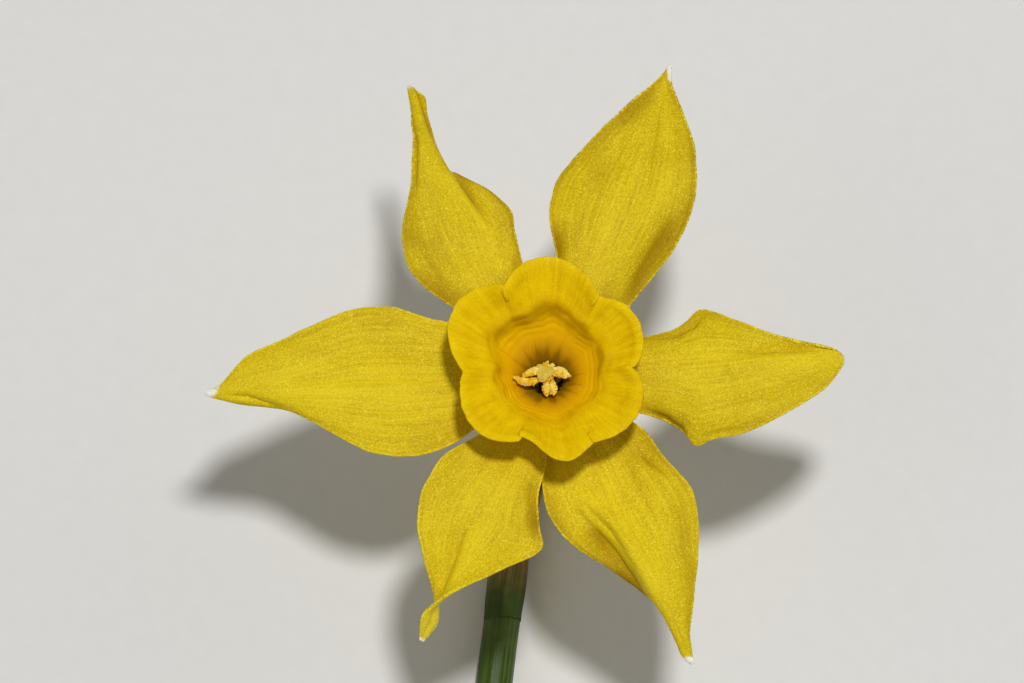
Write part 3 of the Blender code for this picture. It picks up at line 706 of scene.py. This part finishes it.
def corona_reach(angle):
    """The corona's radius at its rim, which falls to a notch between each two lobes."""
    for i, (start, notch, peak, reach, swelling, falling, _) in enumerate(CORONA_LOBES):
        end, next_notch = CORONA_LOBES[(i + 1) % len(CORONA_LOBES)][:2]
        share = ((angle - start) % 360) / ((end - start) % 360)
        if share <= peak:
            return notch + (reach - notch) * math.sin(math.pi / 2 * share / peak) ** swelling
        if share <= 1:
            rise = math.sin(math.pi / 2 * (1 - share) / (1 - peak))
            return next_notch + (reach - next_notch) * rise**falling
    raise ValueError("the lobes leave a gap")


def ring_radius(angle):
    """The radius of the six-cornered ring inside the lobes, whose sides are straight."""
    for i, (start, near) in enumerate(RING_CORNERS):
        end, far = RING_CORNERS[(i + 1) % len(RING_CORNERS)]
        side = math.radians((end - start) % 360)
        turn = math.radians((angle - start) % 360)
        if turn <= side:
            return near * far * math.sin(side) / (near * math.sin(turn) + far * math.sin(side - turn))
    raise ValueError("the ring is open")


def soft_ring(angle):
    """The ring's radius with its corners rounded."""
    near = (ring_radius(angle + step * RING_SOFTNESS) for step in (-1, -0.5, 0, 0.5, 1))
    return sum(near) / 5


def apart(angle, other):
    """The signed difference of two angles in degrees, -180 to 180."""
    return (angle - other + 180) % 360 - 180


def corona_lap(angle):
    """How far the rim is pushed round (degrees) and up at an angle, where one lobe laps another."""
    push = lift = 0.0
    for lobe in CORONA_LOBES:
        notch, lap = lobe[0], lobe[-1]
        off = apart(angle, notch) / LAP_WIDTH
        swing = -off * math.exp(0.5 - off * off / 2)
        push += abs(lap) * swing
        if lap:
            lift += math.copysign(LAP_LIFT, lap) * swing
    return push, lift


def throat_pleats(turn):
    """Uneven pleats round the throat, 0 in their valleys and 1 on their backs."""
    return abs(math.cos(7.5 * turn + 0.9 * math.sin(2 * turn + 1) + 0.6 * math.cos(3 * turn)))


def corona_point(share, across):
    """A point of the corona's middle surface: share runs round it, across from neck to rim."""
    depth = (across + 1) / 2
    angle = 360 * share
    radius = through([r for r, _ in CORONA_PROFILE], depth)
    height = through([z for _, z in CORONA_PROFILE], depth)
    push, lift = corona_lap(angle)
    near_ring = bump(depth - RING_DEPTH, 0.17)
    around = (3 * math.cos(math.tau * share), 3 * math.sin(math.tau * share))
    uneven = 0.05 * wander(*around, 17, 0.9) + 0.03 * wander(*around, 18, 0.35)
    radius *= 1 + near_ring * (0.9 * (soft_ring(angle) / RING_RADIUS - 1) + uneven)
    flare = ease(0.55, 1.0, depth) ** 1.2
    radius *= 1 + flare * (corona_reach(angle) / CORONA_PROFILE[-1][0] - 1)
    height += lift * ease(0.78, 0.97, depth)
    turn = math.radians(angle + push * ease(0.75, 1.0, depth))
    east, north = math.cos(turn), math.sin(turn)
    outer = ease(0.62, 0.85, depth)
    # a wavering groove marks the ring, and its corners run out into the lobes as soft pleats
    shift = 0.03 + 0.02 * wander(*around, 25, 0.7)
    groove = bump(depth - RING_DEPTH - shift, 0.02)
    height -= 0.06 * groove * max(0.25 + 0.55 * north + wander(*around, 12, 1.1), 0.0)
    for corner, _ in RING_CORNERS:
        pleat = bump(apart(angle, corner), 3.0)
        height -= 0.05 * pleat * ease(0.6, 0.68, depth) * (1 - ease(0.75, 1.0, depth))
    # the shelf has faint wavy terraces, and one crease crosses it
    phase = 105 * depth + 5 * wander(*around, 5, 1.6) + 2 * wander(*around, 6, 0.6)
    clear = 0.5 + wander(*around, 27, 1.2)
    height += 0.035 * clear * math.cos(phase) * bump(depth - 0.52, 0.1)
    crease = bump(apart(angle, RADIAL_CREASE), 1.6)
    height -= 0.08 * crease * ease(0.24, 0.32, depth) * (1 - ease(0.5, 0.6, depth))
    # the lobes are fluted from the ring to the rim, and roll a little at the edge
    flutes = wander(9 * east, 9 * north, 2 + depth, 0.75) + 0.6 * wander(9 * east, 9 * north, 9, 0.35)
    height += 0.075 * flutes * outer
    height += 0.12 * wander(2.2 * east, 2.2 * north, 14, 0.8) * ease(0.7, 1.0, depth)
    radius += 0.045 * flutes * ease(0.9, 1.0, depth)
    height -= 0.1 * ease(0.9, 1.0, depth) ** 2
    pleats = throat_pleats(turn) ** 0.6 - 0.7
    radius += 0.14 * pleats * bump(depth - 0.25, 0.11)
    height += 0.08 * pleats * bump(depth - 0.34, 0.1)
    lean = NECK_LEAN * ease(0.0, 0.12, depth) * (1 - ease(0.25, 0.5, depth))
    return vector(radius * east, radius * north - lean, height)


def make_corona():
    depth_and_pleat_shade = []
    walls = []
    painted_shades = []

    def place(share, across):
        depth = (across + 1) / 2
        turn = math.tau * share
        # painted shade: the valleys between the throat's pleats get a darker tone, with a random drift
        star = throat_pleats(turn) ** 0.5 - 0.7
        star += 0.5 * wander(3 * math.cos(turn), 3 * math.sin(turn), 6, 0.9)
        depth_and_pleat_shade.append(depth + 0.11 * star * bump(depth - 0.24, 0.1))
        walls.append(1 - (1 - CORONA_EDGE) * ease(0.93, 1.0, depth))
        # painted shade: a band round the ring, darker on its upper side where its wall faces away from
        # the light; the drift is random
        drift = wander(4 * math.cos(turn), 4 * math.sin(turn), 2 * depth, 1.1)
        ring_painted_shade = bump(depth - RING_DEPTH - 0.02, 0.06)
        painted_shades.append(0.55 * ring_painted_shade * (1 + 0.8 * math.sin(turn)) + 0.6 * drift)
        return corona_point(share, across)

    obj = sheet("corona", CORONA_ROUND, CORONA_ROWS, place)
    attribute(obj, "depth", depth_and_pleat_shade)
    attribute(obj, "breadth", [ease(0.5, 0.8, tone) for tone in depth_and_pleat_shade])
    attribute(obj, "shade", painted_shades)
    attribute(obj, "wall_share", walls)
    weld(obj)
    face_out(obj)
    walls = [place.value for place in obj.data.attributes["wall_share"].data]
    thicken(obj, CORONA_WALL, walls)
    smooth(obj)
    keep(obj, "corona", "corona", corona_finish())


# ---------------- stem, stalk, ovary and tube


def smooth_route(points, count):
    """Count places along a smooth curve through the points."""
    columns = list(zip(*points))
    return [Vector([through(column, i / (count - 1)) for column in columns]) for i in range(count)]


def pipe(name, route, radius_at, around, side=Vector((1, 0, 0))):
    """A closed round solid along a route, whose radius is given by (share along, angle)."""
    last = len(route) - 1

    def place(share, across):
        i = min(int(share * last + 0.5), last)
        tangent = (route[min(i + 1, last)] - route[max(i - 1, 0)]).normalized()
        east = (side - tangent * side.dot(tangent)).normalized()
        north = tangent.cross(east)
        angle = math.pi * across
        radius = radius_at(i / last, angle)
        point = route[i] + east * (radius * math.cos(angle)) + north * (radius * math.sin(angle))
        return vector(*point)

    obj = sheet(name, last, around, place)
    weld(obj)
    close_ends(obj)
    face_out(obj)
    smooth(obj)
    return obj


def close_ends(obj):
    """Fills the open ends of a pipe with a flat face each."""
    edit_all(obj, *OPEN_EDGES, (bpy.ops.mesh.edge_face_add, {}))


def stem_route(count):
    """The stem's middle line: it lies on the surface and swings gently to one side and back."""
    x, y = STEM_START
    step = STEM_LENGTH / (count - 1)
    route = []
    for i in range(count):
        share = i / (count - 1)
        radius = STEM_RADIUS_TOP + (STEM_RADIUS_CUT - STEM_RADIUS_TOP) * share
        route.append(Vector((x, y, radius)))
        heading = math.radians(STEM_HEADING + STEM_SWING * (share + 0.5 / (count - 1)))
        x += step * math.sin(heading)
        y -= step * math.cos(heading)
    return route


def make_stem(finish, cut):
    def radius(share, angle):
        size = STEM_RADIUS_TOP + (STEM_RADIUS_CUT - STEM_RADIUS_TOP) * share
        return size * (0.985 + 0.012 * math.cos(14 * angle) + 0.012 * math.cos(2 * angle))

    obj = pipe("stem", stem_route(STEM_STEPS), radius, STEM_AROUND)
    obj.data.materials.append(finish)
    obj.data.materials.append(cut)
    for face in obj.data.polygons:
        face.material_index = int(len(face.vertices) > 4)
    keep(obj, "stem", "stem")


def make_pedicel(finish):
    x, y = STEM_START
    route = smooth_route(
        (
            (x + 0.03, y + 0.1, 1.0), (-2.15, -5.6, 0.95), (-1.7, -3.3, 1.1), (-0.95, -1.5, 1.8),
            (-0.2, -0.35, 3.2), (0.0, 0.0, PEDICEL_TOP), (0.0, 0.0, PEDICEL_TOP + 0.7),
        ),
        60,
    )

    def radius(share, angle):
        return PEDICEL_RADIUS * (1 + 0.35 * share**3) * (1 + 0.03 * math.cos(3 * angle))

    obj = pipe("pedicel", route, radius, 48)
    keep(obj, "stem", "pedicel", finish)


def make_ovary(finish):
    """Three soft lobes with a seam between each two, plumper than a ball at both ends."""
    deselect()
    bpy.ops.mesh.primitive_uv_sphere_add(segments=96, ring_count=64, radius=1.0)
    obj = active("ovary")
    middle, half = (OVARY_BASE + OVARY_TOP) / 2, (OVARY_TOP - OVARY_BASE) / 2 + 0.2
    for vert in obj.data.vertices:
        x, y, z = vert.co
        angle = math.atan2(y, x)
        lobe = 1 + 0.07 * math.cos(3 * angle) - 0.02 * bump(math.sin(1.5 * angle), 0.12)
        fullness = (OVARY_RADIUS - 0.12 * z) * (1 - abs(z) ** 2.6) ** 0.4
        fullness /= max(math.hypot(x, y), 1e-6)
        vert.co = vector(x * lobe * fullness, y * lobe * fullness, middle + z * half)
    smooth(obj)
    keep(obj, "stem", "ovary", finish)


def make_tube(finish):
    """The perianth tube, whose wall ends in a rounded lip under the corona's neck."""
    def place(share, across):
        angle = math.tau * share
        going = (across + 1) / 2
        wall, up = (TUBE_OUTER, 2 * going) if going <= 0.5 else (TUBE_INNER, 2 * (1 - going))
        r, z = (through([point[k] for point in wall], up) for k in (0, 1))
        r *= 1 + 0.02 * math.cos(6 * angle)
        return vector(r * math.cos(angle), r * math.sin(angle), z)

    obj = sheet("flower_tube", TUBE_AROUND, TUBE_STEPS * 2, place)
    weld(obj)
    edit_all(obj, *OPEN_EDGES, (bpy.ops.mesh.bridge_edge_loops, {}))
    face_out(obj)
    smooth(obj)
    attribute(obj, "inside", [inside_tube(vert.co) for vert in obj.data.vertices])
    keep(obj, "tube", "flower_tube", finish)


def inside_tube(point):
    """1 on the tube's inner face and 0 on its outer face, parted halfway through the wall."""
    x, y, z = point.x - AXIS_X, point.y - AXIS_Y, point.z / MM
    middle = 0.7 + 0.25 * (z - 9.5) / 7.5 + 0.55 * ease(15.0, 19.2, z)
    return ease(middle - 0.1, middle + 0.1, middle + (middle - math.hypot(x, y) / MM))


def make_spathe(finish):
    """The papery sheath: its foot clasps the top of the stem, and it opens to a pointed tongue."""
    dry = []
    walls = []

    def place(share, across):
        x = through((-2.56, -2.3, -2.1, -1.6, -0.88, 0.1, 1.1), share)
        y = STEM_START[1] - SPATHE_OVERLAP + SPATHE_LENGTH * share
        half_turn = through((186.0, 186.0, 168.0, 122.0, 84.0, 60.0, 40.0), share)
        radius = through((1.08, 1.11, 1.12, 1.1, 1.0, 0.7, 0.1), share)
        walls.append(SPATHE_FOOT + (1 - SPATHE_FOOT) * ease(0.0, 0.12, share))
        angle = math.radians(-90 + half_turn * across)
        radius += 0.03 * across + 0.012 * math.cos(across * 60) * ease(0.1, 0.3, share)
        radius += 0.05 * wander(y, across * 2, 21, 0.8) * ease(0.1, 0.4, share)
        dry.append(ease(0.06, 0.32, share + 0.05 * wander(y, across * 2, 23, 0.5)))
        height = SPATHE_WALL / 2 + 0.01 + radius * (1 + math.sin(angle))
        height -= 0.09 * (1 - ease(0.1, 0.2, share))
        return vector(x + radius * math.cos(angle), y, max(height, SPATHE_WALL / 2 + 0.005))

    obj = sheet("spathe", 140, 90, place)
    attribute(obj, "dry", dry)
    face_out(obj)
    thicken(obj, SPATHE_WALL, walls)
    smooth(obj)
    keep(obj, "spathe", "spathe", finish)


# ---------------- stamens and pistil

# Each upper anther has two pollen sacs, side by side, given by their middle lines
UPPER_ANTHERS = {
    "left": (
        ((-0.25, 0.0, 21.5), (-0.8, -0.06, 21.65), (-1.4, -0.3, 21.5)),
        ((-0.45, -0.45, 21.35), (-1.0, -0.58, 21.4), (-1.42, -0.56, 21.45), (-1.78, -0.36, 21.5)),
    ),
    "right": (
        ((0.35, 0.08, 21.5), (0.8, 0.0, 21.55), (1.26, -0.3, 21.4)),
        ((0.38, -0.14, 21.4), (0.74, -0.18, 21.45), (1.12, -0.36, 21.35)),
    ),
    "bottom": (
        ((0.0, -0.62, 21.35), (-0.06, -0.98, 21.2), (0.02, -1.26, 21.0)),
        ((0.26, -0.58, 21.35), (0.36, -0.96, 21.25), (0.3, -1.22, 21.05)),
    ),
}
UPPER_SACS = {"left": 0.22, "right": 0.18, "bottom": 0.21}
# Loose pollen round the stigma, each heap as (anther it came from, x, y, spread)
POLLEN_HEAPS = (
    ("left", -0.2, 0.32, 0.16),
    ("left", -0.02, 0.36, 0.12),
    ("right", 0.32, 0.31, 0.15),
    ("right", 0.42, -0.12, 0.14),
    ("bottom", 0.22, -0.42, 0.15),
    ("bottom", 0.02, -0.5, 0.12),
)
LOWER_ANTHER_ANGLES = {"back": 60.0, "side": 180.0, "front": 300.0}
LOWER_ANTHER_RANGE = (15.6, 17.8)
LOWER_SAC = 0.27
LOWER_PLACE = 0.7  # how far the lower stamens stand from the axis
FILAMENT_RADIUS = 0.11
SAC_STEPS, SAC_AROUND = 33, 40
SAC_CRUMBS, HEAP_CRUMBS = 46, 16  # clots of pollen on a sac and in a heap


def make_sac(name, points, size, seed, finish):
    """One lumpy pollen sac, split along its length and drawn out to a blunt point."""
    route = smooth_route(points, SAC_STEPS)

    def radius(share, angle):
        swell = 0.2 + 0.85 * math.sin(math.pi * (0.1 + 0.88 * share)) ** 0.8
        groove = 1 - 0.25 * bump(math.sin(angle / 2 - math.pi / 4), 0.25)
        lump = 1 + 0.35 * wander(share * 6, angle, seed, 0.8)
        lump += 0.25 * wander(share * 6, angle, seed, 0.3)
        return size * swell * groove * lump

    upright = abs((route[-1] - route[0]).normalized().z) >= 0.7
    side = Vector((1, 0, 0)) if upright else Vector((0, 0, 1))
    obj = pipe(name, route, radius, SAC_AROUND, side)
    obj.data.materials.append(finish)
    return obj, route


def make_crumb(spot, size, rng, finish):
    """One clot of pollen, a small uneven lump."""
    deselect()
    bpy.ops.mesh.primitive_ico_sphere_add(subdivisions=1, radius=size * MM, location=vector(*spot))
    bpy.ops.object.transform_apply(location=True, rotation=False, scale=False)
    crumb = bpy.context.active_object
    for vert in crumb.data.vertices:
        vert.co += Vector((rng.gauss(0, 1), rng.gauss(0, 1), rng.gauss(0, 1))) * size * 0.25 * MM
    crumb.data.materials.append(finish)
    return crumb


def make_anther(name, sacs, size, seed, finish, heaps=()):
    """An anther of pollen sacs, crumbled all over, with the loose pollen that it has shed."""
    rng = random.Random(seed)
    parts = []
    for number, points in enumerate(sacs):
        sac, route = make_sac(name, points, size, seed + 7 * number, finish)
        parts.append(sac)
        for _ in range(SAC_CRUMBS):
            share = rng.random() ** 1.2
            out = Vector((rng.gauss(0, 1), rng.gauss(0, 1), abs(rng.gauss(0, 1)))).normalized()
            middle = route[int(share * (SAC_STEPS - 1))]
            spot = middle + out * size * (0.45 + 0.5 * math.sin(math.pi * share))
            parts.append(make_crumb(spot, rng.uniform(0.035, 0.085), rng, finish))
    for x, y, spread in heaps:
        for _ in range(HEAP_CRUMBS):
            lie = Vector((rng.gauss(0, 0.5), rng.gauss(0, 0.5), rng.gauss(0, 0.5))) * spread
            spot = Vector((x, y, STIGMA_LEVEL - 0.05)) + lie
            parts.append(make_crumb(spot, rng.uniform(0.04, 0.09), rng, finish))
    deselect()
    for part in parts:
        part.select_set(True)
    bpy.context.view_layer.objects.active = parts[0]
    bpy.ops.object.join()
    keep(parts[0], "anther", name)


def rod(name, points, radius, finish, slot):
    route = smooth_route(points, 30)
    obj = pipe(name, route, lambda share, angle: radius * (1 + 0.05 * math.cos(2 * angle)), 20)
    keep(obj, slot, name, finish)


def make_stamens(pollen, filament):
    for seed, (place, sacs) in enumerate(UPPER_ANTHERS.items()):
        heaps = [heap[1:] for heap in POLLEN_HEAPS if heap[0] == place]
        make_anther(f"anther_upper_{place}", sacs, UPPER_SACS[place], 40 + seed, pollen, heaps)
        x, y = ((sacs[0][1][k] + sacs[1][1][k]) / 2 for k in (0, 1))
        out = Vector((x, y)).normalized()
        foot = Vector((out.x * 0.55, out.y * 0.55, TUBE_MOUTH - 0.6))
        head = Vector((x, y, sacs[1][1][2] - 0.1))
        route = (foot, (foot + head) / 2, head)
        rod(f"filament_upper_{place}", route, FILAMENT_RADIUS, filament, "filament")
    low, high = LOWER_ANTHER_RANGE
    for seed, (place, angle) in enumerate(LOWER_ANTHER_ANGLES.items()):
        turn = math.radians(angle)
        x, y = LOWER_PLACE * math.cos(turn), LOWER_PLACE * math.sin(turn)
        sacs = (((x, y, low), (x * 1.03, y * 1.03, (low + high) / 2), (x, y, high)),)
        make_anther(f"anther_lower_{place}", sacs, LOWER_SAC, 50 + seed, pollen)
        route = ((x * 1.05, y * 1.05, low - 2.0), (x, y, low - 1), (x, y, low + 0.2))
        rod(f"filament_lower_{place}", route, FILAMENT_RADIUS, filament, "filament")


# The stigma's three lobes, as the directions in which they point, and its place
STIGMA_LOBES = (134.0, 10.0, 250.0)
STIGMA_PLACE = (-0.17, -0.13)


def make_pistil(style_finish, stigma_finish):
    """The style stands on the ovary and carries a three-lobed stigma."""
    stigma_x, stigma_y = STIGMA_PLACE
    route = ((0, 0, TUBE_BASE - 0.3), (0, 0, 15.0), (stigma_x, stigma_y, STIGMA_LEVEL - 0.1))
    rod("style", route, 0.2, style_finish, "pistil")
    deselect()
    bpy.ops.mesh.primitive_uv_sphere_add(segments=96, ring_count=48, radius=1.0)
    obj = active("stigma")
    for vert in obj.data.vertices:
        x, y, z = vert.co
        angle = math.degrees(math.atan2(y, x))
        off = min(abs(apart(angle, lobe)) for lobe in STIGMA_LOBES)
        lobed = bump(off, 50)
        reach = 0.3 + 0.29 * lobed
        out = math.hypot(x, y) * reach
        dome = 0.1 * lobed * bump(out - 0.34, 0.16) if z > 0 else 0.0
        grain = 0.05 * wander(x * 3, y * 3, 31, 0.3)
        vert.co = vector(
            x * reach * (1 + grain) + stigma_x,
            y * reach * (1 + grain) + stigma_y,
            STIGMA_LEVEL + 0.08 + (0.14 + grain) * z + dome,
        )
    smooth(obj)
    keep(obj, "pistil", "stigma", stigma_finish)


def pollen_finish():
    pollen = Finish("pollen", Subsurface_Weight=0.15, Subsurface_Scale=0.0002, Specular_IOR_Level=0.2)
    place = pollen.coordinates("Object")
    grain = pollen.cells(place, 9000.0, "Distance")
    patches = pollen.noise(place, 2200.0, 3.0, 0.6)
    tone = pollen.ramp(
        patches,
        (0.3, srgb(236, 172, 24)),
        (0.46, srgb(252, 208, 60)),
        (0.64, srgb(255, 230, 136)),
    )
    pollen.colour(tone)
    pollen.roughness(pollen.span(patches, 0.3, 0.7, 0.75, 0.9))
    pollen.relief((grain, 0.00004, 0.8), (patches, 0.00005, 0.5))
    return pollen.material


def tube_finish():
    """Greenish yellow outside; down the inside it is painted dark olive brown, as the shade in the
    tube.
    """
    bright, deep, pale = srgb(206, 192, 62), srgb(170, 166, 48), srgb(214, 204, 104)
    skin = plant_skin("tube_skin", bright, deep, pale, (24.0, 2.0, 1.0))
    # painted shade: the inner face is painted dark olive brown
    skin.colour(skin.mix(skin.number("inside"), skin.colour_sum, srgb(150, 104, 8)))
    return skin.material


def cut_finish():
    """The stem's cut end: pale wet pith."""
    flesh = Finish("cut_pith", Roughness=0.35)
    place = flesh.coordinates("Object")
    pith = flesh.cells(place, 4200.0, "Distance")
    damp = flesh.noise(place, 1600.0, 3.0)
    green = flesh.mix(flesh.span(pith, 0.1, 0.8), srgb(184, 196, 128), srgb(132, 156, 78))
    flesh.colour(flesh.mix(flesh.span(damp, 0.4, 0.7, 0.0, 0.6), green, srgb(206, 210, 164)))
    flesh.relief((pith, 0.00006, 0.5))
    return flesh.material


def spathe_finish():
    """A green foot that dries to brown paper."""
    brown, dark, pale = srgb(176, 142, 84), srgb(126, 92, 44), srgb(198, 174, 126)
    skin = plant_skin("papery_sheath", brown, dark, pale, (2.0, 40.0, 1.0), 0.55)
    green = skin.mix(skin.noise(skin.coordinates("UV", (3.0, 40.0, 1.0)), 1.0), *STEM_GREENS_PAINTED_DARK)
    skin.colour(skin.mix(skin.number("dry"), green, skin.colour_sum))
    return skin.material


# ---------------- stage


def make_floor():
    deselect()
    bpy.ops.mesh.primitive_plane_add(size=3.0)
    floor = active("table_top")
    paper = Finish("pale_table", Roughness=0.75)
    grain = paper.noise(paper.coordinates("Object"), 900.0, 3.0)
    paper.colour(paper.mix(grain, (0.78, 0.77, 0.75, 1.0), (0.82, 0.81, 0.79, 1.0)))
    floor.data.materials.append(paper.material)


# The lamps over the flower, each as (name, place from the throat in metres, size, power)
LAMPS = (
    ("key_light", (0.036, 0.022, 0.45), 0.045, 1.28),
    ("fill_left", (-0.5, -0.2, 0.5), 0.5, 0.4),
    ("fill_right", (0.5, 0.2, 0.5), 0.5, 0.34),
)
ROOM_LIGHT = 0.19


def add_light(name, place, aim, size, power):
    deselect()
    bpy.ops.object.light_add(type="AREA", location=place)
    lamp = bpy.context.active_object
    lamp.name = name
    lamp.data.shape = "DISK"
    lamp.data.size = size
    lamp.data.energy = power
    lamp.rotation_euler = (aim - place).to_track_quat("-Z", "Y").to_euler()


def make_lights():
    throat = vector(0, 0, THROAT_LEVEL)
    for name, place, size, power in LAMPS:
        add_light(name, throat + Vector(place), throat, size, power)
    world = bpy.data.worlds.new("studio")
    world.use_nodes = True
    room = world.node_tree.nodes["Background"]
    room.inputs["Color"].default_value = (1.0, 1.0, 1.0, 1.0)
    room.inputs["Strength"].default_value = ROOM_LIGHT
    bpy.context.scene.world = world
    bpy.context.scene.view_settings.view_transform = "Standard"


def make_camera():
    tilt = math.radians(VIEW_TILT)
    up = Vector((0, math.cos(tilt), math.sin(tilt)))
    back = Vector((0, -math.sin(tilt), math.cos(tilt)))
    right, rise = VIEW_AIM
    aim = vector(0, 0, THROAT_LEVEL) + Vector((right * MM, 0, 0)) + up * rise * MM
    deselect()
    bpy.ops.object.camera_add(location=aim + back * VIEW_DISTANCE * MM, rotation=(tilt, 0, 0))
    camera = bpy.context.active_object
    camera.name = "camera"
    camera.data.sensor_width = SENSOR
    camera.data.lens = SENSOR * VIEW_DISTANCE / VIEW_WIDTH
    camera.data.clip_start = 0.01
    bpy.context.scene.camera = camera


make_camera()
make_lights()
make_floor()
make_tepals()
make_corona()

# painted shade: the stem's greens are darker than a living stem's, for the shade it lies in under the
# flower
stem_skin_painted_dark = plant_skin(
    "stem_skin_painted_dark", srgb(78, 99, 34), srgb(46, 66, 18), srgb(104, 122, 64), (3.0, 40.0, 1.0)
).material
ovary_skin = plant_skin(
    "ovary_skin", srgb(108, 134, 48), srgb(74, 102, 32), srgb(150, 164, 88), (24.0, 2.0, 1.0)
).material
stalk_skin = plant_skin(
    "stalk_skin", srgb(102, 128, 46), srgb(68, 96, 30), srgb(140, 156, 84), (2.0, 24.0, 1.0)
).material
pale_skin = plant_skin(
    "pale_skin", srgb(222, 208, 120), srgb(196, 184, 84), srgb(232, 226, 160), (2.0, 8.0, 1.0)
).material
stigma_skin = plant_skin(
    "stigma_skin", srgb(226, 196, 76), srgb(206, 176, 52), srgb(232, 214, 118), (4.0, 4.0, 1.0)
).material

make_tube(tube_finish())
make_ovary(ovary_skin)
make_pedicel(stalk_skin)
make_stem(stem_skin_painted_dark, cut_finish())
make_spathe(spathe_finish())
make_stamens(pollen_finish(), pale_skin)
make_pistil(pale_skin, stigma_skin)
